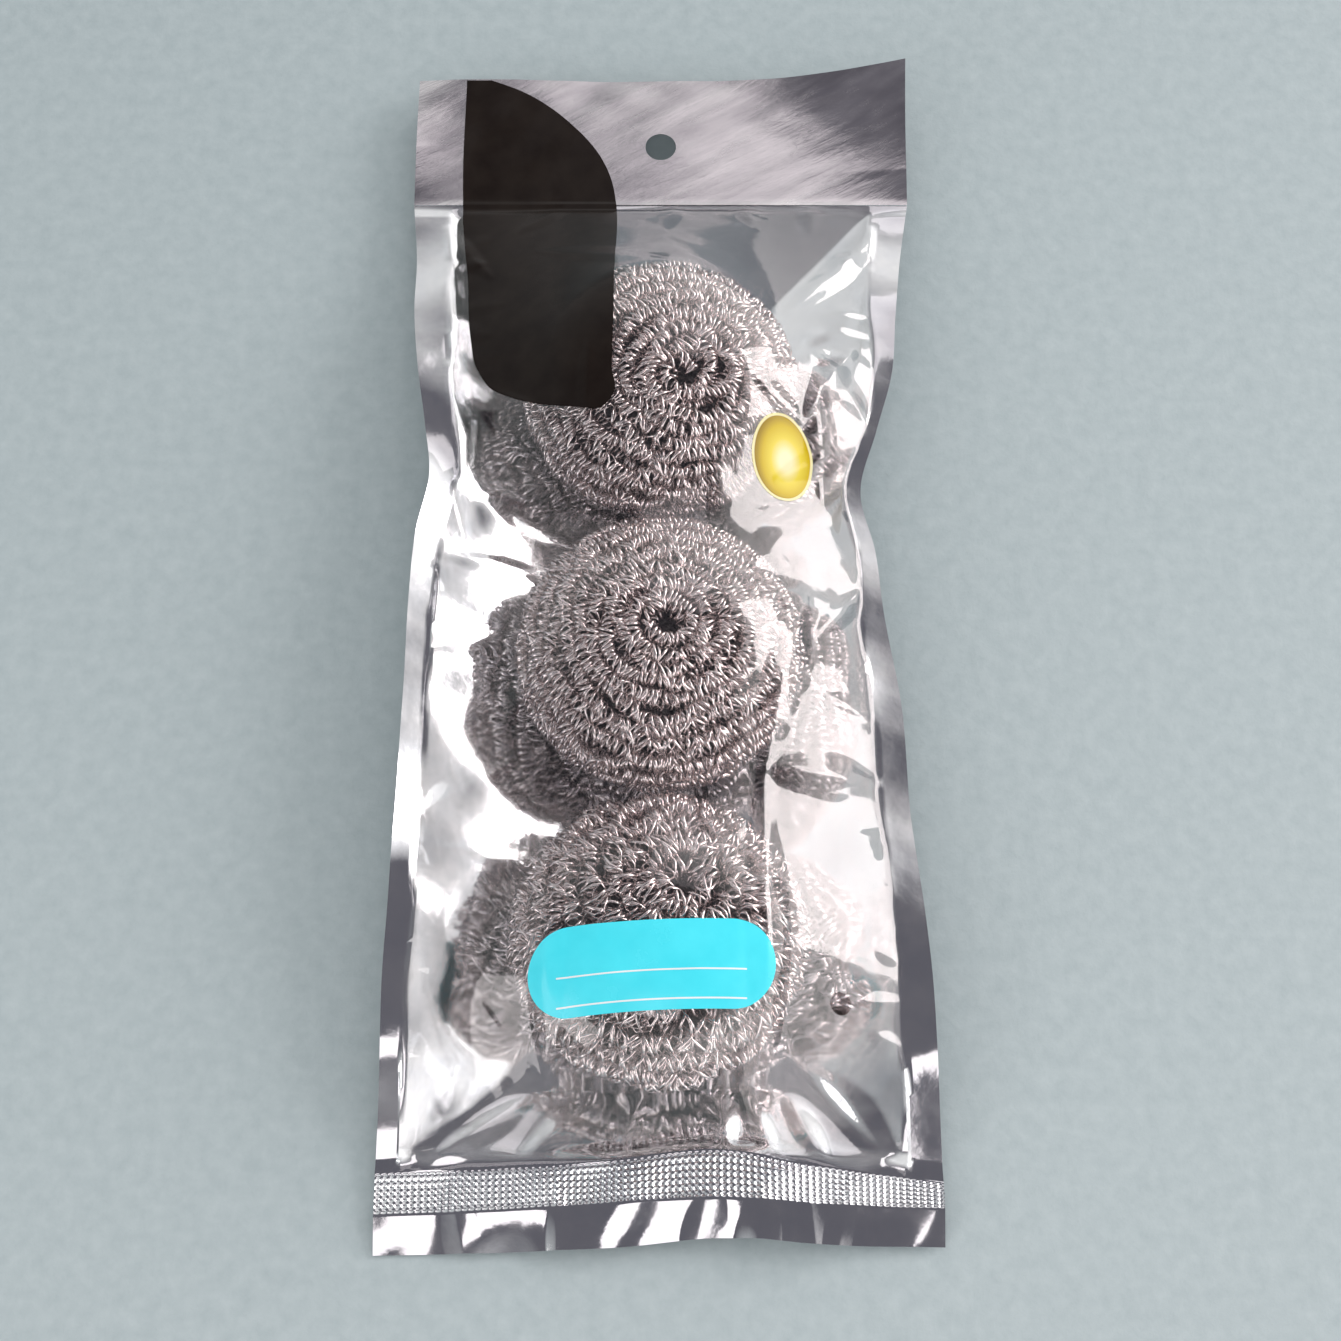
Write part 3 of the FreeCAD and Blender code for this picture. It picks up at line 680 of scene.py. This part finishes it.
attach(bottom_seal, "bag")

# %% [markdown]
# ## Header
#
# Above the crease the two films are sealed flat into one panel that folds along the crease. Its upper right
# corner has curled up and its left end is slightly warped. The panel is one grid with a round hole: the
# cells of a square block are dropped, and the rings of the grid round it are bent from square to circle.
# Its finish is brushed in slanting streaks, a noise that is stretched along one direction and sets its
# roughness and bumps. A coarser noise on the same slant lays paler and darker bands into its colour:
# painted sheen.

# %% Header grid with its hang hole
hang_y, hang_r = header_top - 19.5, 3.75
RING, BLOCK = 11, 4.0
columns = np.concatenate([np.linspace(-half_width, -RING, 50)[:-1], np.linspace(-RING, RING, 45),
                          np.linspace(RING, half_width, 50)[1:]])
rows = np.concatenate([np.linspace(crease_y, hang_y - RING, 9)[:-1],
                       np.linspace(hang_y - RING, hang_y + RING, 45),
                       np.linspace(hang_y + RING, header_top, 13)[1:]])
panel_x = columns + 0 * rows[:, None]
panel_y = 0 * columns + rows[:, None]
ring = np.maximum(np.abs(panel_x), np.abs(panel_y - hang_y))
round_share = np.clip((RING - ring) / (RING - BLOCK), 0, 1)
bearing = np.hypot(panel_x, panel_y - hang_y) + 1e-9
hole_x = panel_x + round_share * (ring / bearing - 1) * panel_x
hole_y = panel_y + round_share * (ring / bearing - 1) * (panel_y - hang_y)
kept = np.maximum(np.abs(panel_x[:-1, :-1] + 0.25), np.abs(panel_y[:-1, :-1] - hang_y + 0.25)) > BLOCK
hole_scale = np.where(ring < BLOCK + 0.01, hang_r / BLOCK, 1)
hole_x = hole_x * hole_scale
hole_y = hang_y + (hole_y - hang_y) * hole_scale
print("header grid", panel_x.shape, "with its hole at", round(float(hang_y), 2))

# %% Height of the header


def header_height(x, y):
    """Height of the header: flat at the crease, slow waves, right corner curled up and left end warped."""
    up = np.clip((y - crease_y) / (header_top - crease_y), 0, 1)
    corner = np.clip((x - 12) / 48, 0, 1) ** 2 * up ** 2.4
    waves = 0.45 * rough(x, y, 60, 41) + 0.10 * rough(x, y, 16, 42)
    dip = -1.0 * np.exp(-((x - 2) / 26) ** 2) * up ** 2
    right_end = 1.7 * np.clip((x - 30) / 30, 0, 1) ** 2 * np.clip(up / 0.25, 0, 1)
    left_end = np.clip((-43 - x) / 17, 0, 1) ** 2 * (1.6 * np.clip(up / 0.45, 0, 1) - 2.6 * up ** 2)
    bend = 7.0 * corner + right_end + left_end + up * (waves + dip)
    return header_z - 0.05 + bend + 0.25 * np.exp(-((y - crease_y) / 0.8) ** 2)


# %% Brushed finish and the header
brushed, tree, shader, place = new_material("brushed_header_painted_sheen", metallic=1.0)
slant = tree.nodes.new("ShaderNodeMapping")
slant.vector_type = "TEXTURE"
slant.inputs["Rotation"].default_value = (0, 0, math.radians(28))
slant.inputs["Scale"].default_value = (6.0, 1, 1)
tree.links.new(place, slant.inputs["Vector"])
streak = add_noise(tree, slant.outputs["Vector"], 420, 5, 0.6)
cloud = add_noise(tree, slant.outputs["Vector"], 110, 3, 0.5)
# Painted sheen: paler and darker slanting bands in the colour stand in for the header's reflections.
PAINTED_SHEENS = [(0.35, (0.60, 0.575, 0.60)), (0.65, (0.95, 0.915, 0.925))]
tree.links.new(add_ramp(tree, cloud, PAINTED_SHEENS), shader.inputs["Base Color"])
tree.links.new(add_range(tree, streak, 0.3, 0.7, 0.14, 0.30), shader.inputs["Roughness"])
tree.links.new(add_bump(tree, streak, 0.0003, 0.55), shader.inputs["Normal"])
HEADER_THICKNESS = 0.14
header_grid = np.stack([hole_x, hole_y, header_height(hole_x, hole_y)], -1)
header = add_piece("silver_header", *film_shell(header_grid, HEADER_THICKNESS, kept), brushed)
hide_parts("header_front_film", "header_back_film")
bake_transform(header)

# %% [markdown]
# ## Print and label
#
# A dark printed tab runs from the header down over the top ball, a small yellow oval with a pale rim is
# printed beside it, and a pill-shaped label with two fine lines sits on the lowest ball. Ink could be a
# colour on the film, but as thin pieces of their own they keep crisp edges at any size. Each is a grid of
# rows between a left and a right outline, laid on the film's own height, which a smooth four-point rule
# reads between the grid's points. The oval's yellow is the ink's own, and over it are painted the shade and
# highlight of a shallow dome: darker towards its edge and pale in its middle.

# %% Patches on the film


def bag_height(x, y):
    """Height of the bag's front: the clear film below the crease and the header above it."""
    return np.where(y > crease_y, header_height(x, y), film_height(x, y))


def row_patch(rows_y, left, right, columns, lift, height, climb=0.0):
    """Grid of rows between two outlines, laid lift above the given height; each row climbs to its right."""
    x = left[:, None] + (right - left)[:, None] * np.linspace(0, 1, columns)
    y = rows_y[:, None] + climb * (x - (left + right)[:, None] / 2)
    return np.stack([x, y, height(x, y) + lift], -1)


def ink_material(name, stops, roughness, specular=0.5):
    """Glossy ink over the shared crinkle: a colour that varies a little, if stops are given."""
    material, tree, shader, place = new_material(name)
    shader.inputs["Specular IOR Level"].default_value = specular
    wrinkle = add_crinkle(tree, place, 380)
    tree.links.new(add_bump(tree, wrinkle.outputs["Height"], 0.0004, 0.5), shader.inputs["Normal"])
    if stops:
        tree.links.new(add_ramp(tree, add_noise(tree, place, 160, 4), stops), shader.inputs["Base Color"])
    gloss = add_range(tree, wrinkle.outputs["Cloud"], 0.3, 0.7, roughness * 0.7, roughness * 1.4)
    tree.links.new(gloss, shader.inputs["Roughness"])
    return material, tree, shader, place


# %% Dark tab
INK_THICKNESS = 0.04
TAB_LOW, TAB_HIGH = 37, 140.6
TAB_LEFT = [(TAB_LOW, -15), (40.5, -27), (46, -37), (53, -42), (62, -44), (80, -45.6), (100, -47.8),
            (110, -48.3), (TAB_HIGH, -48.2)]
TAB_RIGHT = [(TAB_LOW, -13), (38.5, -11.3), (47, -10.8), (80, -10.6), (100, -10.5), (106, -10.9),
             (113, -12.3), (120, -15.5), (127, -21.0), (133, -27.5), (138, -35.5), (TAB_HIGH, -42)]
BLACKS = [(0.3, (0.010, 0.007, 0.006)), (0.7, (0.016, 0.012, 0.010))]
black_ink = ink_material("black_ink", BLACKS, 0.16, specular=0.12)[0]
tab_y = np.concatenate([np.linspace(TAB_LOW, 46, 24)[:-1], np.linspace(46, crease_y - 0.3, 110),
                        np.linspace(crease_y, TAB_HIGH, 60)])
tab_left, tab_right = smooth_line(tab_y, TAB_LEFT), smooth_line(tab_y, TAB_RIGHT)
tab_grid = row_patch(tab_y, tab_left, tab_right, 70, 0.14, bag_height)
tab = add_piece("dark_tab", *film_shell(tab_grid, INK_THICKNESS), black_ink)
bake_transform(tab)

# %% Yellow oval with its rim
yellow_ink_and_dome_shade, tree, shader, place = ink_material("yellow_ink_and_dome_shade", None, 0.2, specular=0.2)
dome_place = tree.nodes.new("ShaderNodeMapping")
dome_place.vector_type = "TEXTURE"
dome_place.inputs["Location"].default_value = (28.4 * MM, 28.6 * MM, 0)
dome_place.inputs["Scale"].default_value = (6.9 * MM, 10.2 * MM, 1)
tree.links.new(place, dome_place.inputs["Vector"])
dome = tree.nodes.new("ShaderNodeTexGradient")
dome.gradient_type = "SPHERICAL"
tree.links.new(dome_place.outputs["Vector"], dome.inputs["Vector"])
# Over the ink's yellow, painted shade darkens the oval towards its edge and a painted highlight makes its
# middle pale, as on a shallow dome.
PAINTED_DOME_SHADE = [(0.0, (0.30, 0.19, 0.006)), (0.22, (0.58, 0.42, 0.012)),
        (0.5, (0.74, 0.60, 0.06)), (0.8, (0.86, 0.80, 0.50))]
tree.links.new(add_ramp(tree, dome.outputs["Fac"], PAINTED_DOME_SHADE), shader.inputs["Base Color"])
turn = np.linspace(-np.pi / 2 + 0.02, np.pi / 2 - 0.02, 40)
oval_x, oval_y = 27.6, 29.0
PALES = [(0.3, (0.78, 0.72, 0.36)), (0.7, (0.86, 0.80, 0.48))]
pale_ink = ink_material("pale_ink", PALES, 0.2, specular=0.2)[0]
OVALS = (("yellow_oval", 6.4, 9.4, 0.12, yellow_ink_and_dome_shade), ("oval_rim", 7.0, 10.0, 0.07, pale_ink))
for oval_name, half_x, half_y, lift, ink in OVALS:
    reach = half_x * np.cos(turn)
    oval_rows = oval_y + half_y * np.sin(turn)
    oval = row_patch(oval_rows, oval_x - reach, oval_x + reach, 36, lift, film_height)
    oval_piece = add_piece(oval_name, *film_shell(oval, INK_THICKNESS), ink)
    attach(oval_piece, "bag")

# %% Pill label with its two lines
label_low, label_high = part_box("front_label")
label_x = (label_low[0] + label_high[0]) / 2 / MM
label_y = (label_low[1] + label_high[1]) / 2 / MM
CYANS = [(0.3, (0.055, 0.74, 0.88)), (0.7, (0.075, 0.80, 0.94))]
cyan = ink_material("cyan_label", CYANS, 0.22)[0]
turn = np.linspace(-np.pi / 2, np.pi / 2, 44)
pill_r, pill_straight, label_climb = 9.0, 16.5, 0.045
reach = pill_straight + pill_r * np.cos(turn)
pill_rows = label_y + pill_r * np.sin(turn)
pill = row_patch(pill_rows, label_x - reach, label_x + reach, 100, 0.13, film_height, label_climb)
label = add_piece("pill_label", *film_shell(pill, 0.1), cyan)
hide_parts("front_label")
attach(label, "bag")
WHITES = [(0.3, (0.80, 0.84, 0.85)), (0.7, (0.88, 0.91, 0.92))]
white_ink = ink_material("white_ink", WHITES, 0.22)[0]
for rule_name, rule_drop in (("label_rule_upper", 1.2), ("label_rule_lower", 6.9)):
    rule_y = label_y - rule_drop + np.linspace(-0.17, 0.17, 3)
    reach = np.full(3, 19.5)
    strip = row_patch(rule_y, label_x - reach, label_x + reach, 90, 0.21, film_height, label_climb)
    rule = add_piece(rule_name, *film_shell(strip, 0.03), white_ink)
    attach(rule, "bag")

# %% [markdown]
# ## The scrubbers
#
# Each scrubber is one curl: flat wire wound like a long loose spring, and that spring wound again into a bun.
# A texture can't give the glints that run round every turn, so the wire itself is modelled. A line spirals
# over an ellipsoid from its upper eye to its lower one, a helix runs round that line, and a small rectangle
# is carried along the helix with its wide side outwards. The curl varies in radius and pitch, as the real one
# does, and everything stays inside one round envelope so that a bun can turn in its bag. The wire is bright
# and a little warm. The imported turns inside only show between the curls, and their dark finish is
# painted shade: the same steel made nearly black, for the shadow the outer curls cast on them.

# %% Steel finish
steel, tree, shader, place = new_material("curled_steel", metallic=1.0)
tint = add_noise(tree, place, 700, 3)
STEELS = [(0.3, (0.82, 0.73, 0.72)), (0.7, (0.96, 0.865, 0.855))]
tree.links.new(add_ramp(tree, tint, STEELS), shader.inputs["Base Color"])
polish = add_range(tree, add_noise(tree, place, 1500, 2), 0.3, 0.7, 0.08, 0.19)
tree.links.new(polish, shader.inputs["Roughness"])

# Painted shade: the packed turns are the same steel, made nearly black for the shadow between the curls.
painted_shade_wire, tree, shader, place = new_material("packed_wire_painted_shade", metallic=1.0)
strands = add_noise(tree, place, 900, 4, 0.6)
SHADED_STEELS = [(0.35, (0.030, 0.026, 0.025)), (0.65, (0.20, 0.185, 0.18))]
tree.links.new(add_ramp(tree, strands, SHADED_STEELS), shader.inputs["Base Color"])
tree.links.new(add_bump(tree, strands, 0.001, 0.9), shader.inputs["Normal"])
shader.inputs["Roughness"].default_value = 0.4
print("finishes so far:", [material.name for material in bpy.data.materials])

# %% Rope line


def rope_line(semi_x, semi_z, loop, start_r, lean, step, dip):
    """Points step apart along a spiral on an ellipsoid whose loops lie loop apart.

    The polar angle follows the length run down the meridian, the azimuth turns once per loop, lean tips the
    spiral's pole towards (x, y), and dip sinks its upper eye.
    """
    polar = np.linspace(0, np.pi, 4001)
    speed = np.hypot(semi_x * np.cos(polar), semi_z * np.sin(polar))
    run = np.concatenate([[0], np.cumsum((speed[1:] + speed[:-1]) / 2 * np.diff(polar))])
    first = np.interp(start_r / semi_x, np.sin(polar[:2001]), run[:2001])
    down = np.linspace(first, run[-1] - first, 24000)
    angle = np.interp(down, run, polar)
    azimuth = 2 * np.pi * (down - first) / loop
    unit = np.stack([np.sin(angle) * np.cos(azimuth), np.sin(angle) * np.sin(azimuth), np.cos(angle)], -1)
    tip = math.hypot(*lean) / semi_x
    toward = math.atan2(lean[1], lean[0])
    c, s = math.cos(toward), math.sin(toward)
    back = np.array([[c, s, 0], [-s, c, 0], [0, 0, 1]])
    c, s = math.cos(tip), math.sin(tip)
    bend = np.array([[c, 0, s], [0, 1, 0], [-s, 0, c]])
    sunk = 1 - dip * np.exp(-(angle / 0.16) ** 2)
    unit = unit @ (back.T @ bend @ back).T
    axes = np.array([semi_x, semi_x, semi_z])
    points = unit * axes * sunk[:, None]
    outward = unit / axes
    length = np.concatenate([[0], np.cumsum(np.linalg.norm(np.diff(points, axis=0), axis=1))])
    at = np.arange(0, length[-1], step)
    points = np.stack([np.interp(at, length, points[:, k]) for k in range(3)], -1)
    outward = np.stack([np.interp(at, length, outward[:, k]) for k in range(3)], -1)
    return at, points, outward / np.linalg.norm(outward, axis=1, keepdims=True)


# %% Curl and ribbon


def unit_rows(vectors):
    """The same directions with length one."""
    return vectors / np.linalg.norm(vectors, axis=1, keepdims=True)


def curl(rope, radius, pitch, loose, seed):
    """Helix round a rope line: middle + reach (outward cos phase + beside sin phase).

    Its radius, its pitch, the lean of its turns and the rope itself wander by loose.
    """
    at, points, outward = rope
    ahead = unit_rows(np.gradient(points, axis=0))
    beside = unit_rows(np.cross(ahead, outward))
    phase = 2 * np.pi * at / pitch + 5 * loose * wander(at, 9 * pitch, seed)
    swell = loose * wander(at, 11 * pitch, seed + 1)
    quiver = 0.5 * loose * wander(at, 2.4 * pitch, seed + 2)
    reach = radius * (1 + swell + quiver)
    middle = points + outward * (3.5 * loose * wander(at, 19, seed + 3))[:, None]
    middle = middle + beside * (6.5 * loose * wander(at, 27, seed + 4))[:, None]
    radial = outward * np.cos(phase)[:, None] + beside * np.sin(phase)[:, None]
    lean_up, lean_side = 3.2 * loose * wander(at, 7, seed + 5), 3.2 * loose * wander(at, 8, seed + 6)
    tilt = lean_up * np.cos(phase) + lean_side * np.sin(phase)
    return middle + (radial + ahead * tilt[:, None]) * reach[:, None], radial


def ribbon(path, outward, width, thickness):
    """Flat wire: a rectangle carried along the path, its wide side facing outward, closed at both ends."""
    ahead = unit_rows(np.gradient(path, axis=0))
    outward = unit_rows(outward - ahead * (outward * ahead).sum(1, keepdims=True))
    beside = np.cross(ahead, outward)
    rise = outward[:, None] * np.array([1, -1, -1, 1])[None, :, None] * thickness / 2
    side = beside[:, None] * np.array([1, 1, -1, -1])[None, :, None] * width / 2
    points = (path[:, None] + rise + side).reshape(-1, 3)
    ring = np.arange(0, len(points) - 4, 4)[:, None]
    k = np.arange(4)
    turn = (k + 1) % 4
    quads = np.stack([ring + k, ring + turn, ring + 4 + turn, ring + 4 + k], -1).reshape(-1, 4)
    last = len(points) - 4
    caps = np.array([[3, 2, 1, 0], [last, last + 1, last + 2, last + 3]])
    return points, [np.concatenate([quads, caps])]


# %% Envelope and core


def in_envelope(points, semi_x, semi_z):
    """Points drawn in so that none lies outside an ellipsoid: the outer three hundredths are compressed."""
    reach = np.sqrt((points[:, 0] ** 2 + points[:, 1] ** 2) / semi_x ** 2 + points[:, 2] ** 2 / semi_z ** 2)
    soft = np.where(reach > 0.97, 0.97 + 0.03 * np.tanh((reach - 0.97) / 0.03), reach)
    return points * (soft / np.maximum(reach, 1e-9))[:, None]


def bun_core(semi_x, semi_z, seed):
    """Packed inner turns: an ellipsoid whose surface waves along a spiral, closed at its poles by fans."""
    polar = np.linspace(0, np.pi, 62)[1:-1, None]
    azimuth = np.linspace(0, 2 * np.pi, 121)[None, :-1]
    groove = np.sin(26 * polar + azimuth) * np.sin(polar)
    swell = 1 + 0.03 * groove + 0.012 * np.sin(40 * azimuth + 9 * polar + seed) * np.sin(polar)
    girth = semi_x * swell * np.sin(polar)
    grid = np.stack([girth * np.cos(azimuth), girth * np.sin(azimuth), semi_z * swell * np.cos(polar)], -1)
    rows, columns = grid.shape[:2]
    corner = np.arange(rows * columns).reshape(rows, columns)
    beside = np.roll(corner, -1, axis=1)
    quads = np.stack([corner[1:], beside[1:], beside[:-1], corner[:-1]], -1).reshape(-1, 4)
    north, south = rows * columns, rows * columns + 1
    fans = np.concatenate([
        np.stack([corner[0], beside[0], np.full(columns, north)], -1),
        np.stack([beside[-1], corner[-1], np.full(columns, south)], -1)])
    points = np.concatenate([grid.reshape(-1, 3), [[0, 0, semi_z], [0, 0, -semi_z]]])
    return points, [quads, fans]


# %% The three buns
# The rounds of a rope lie loop apart. Radius and pitch are the curl's, width is the wire's, loose says how
# far all of it wanders, and lean is where the upper eye lies, off the centre.
BUNS = {
    "scrubber_top": dict(
        loop=3.2, radius=1.8, pitch=1.1, width=0.50, loose=0.20, lean=(7.0, -3.0), seed=100),
    "scrubber_middle": dict(
        loop=3.1, radius=1.7, pitch=1.1, width=0.50, loose=0.20, lean=(1.8, 1.2), seed=200),
    "scrubber_bottom": dict(
        loop=3.8, radius=2.2, pitch=1.25, width=0.52, loose=0.24, lean=(6.0, 10.0), seed=300),
}
# A layer has a name, a depth below the outside, a stretch of the pitch and a number of points in a turn.
LAYERS = (("outer", 0.0, 1.0, 8), ("inner", 3.2, 1.25, 7))
EYE_RADIUS, EYE_DIP = 2.6, 0.16
WIRE_THICKNESS, CLEARANCE, CORE_INSET = 0.14, 0.25, 5.6
for body, bun in BUNS.items():
    centre = ball_centres[body]
    outer_x = BALL_A - bun["radius"] - CLEARANCE
    outer_z = BALL_B - bun["radius"] - CLEARANCE
    for layer, inset, stretch, points_per_turn in LAYERS:
        pitch = bun["pitch"] * stretch
        step = pitch / points_per_turn
        semi_x, semi_z = outer_x - inset, outer_z - inset
        rope = rope_line(semi_x, semi_z, bun["loop"], EYE_RADIUS, bun["lean"], step, EYE_DIP)
        path, radial = curl(rope, bun["radius"], pitch, bun["loose"], bun["seed"] + int(10 * inset))
        points, faces = ribbon(path, radial, bun["width"], WIRE_THICKNESS)
        points = in_envelope(points, BALL_A, BALL_B) + centre
        wire = add_piece(f"{body}_{layer}_wire", points, faces, steel, 180)
        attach(wire, body)
        if layer == "outer":
            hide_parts(f"{body}_winding")
    points, faces = bun_core(outer_x - CORE_INSET, outer_z - CORE_INSET, bun["seed"])
    packed = add_piece(f"{body}_packed_turns", points + centre, faces, painted_shade_wire)
    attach(packed, body)
    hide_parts(f"{body}_core")
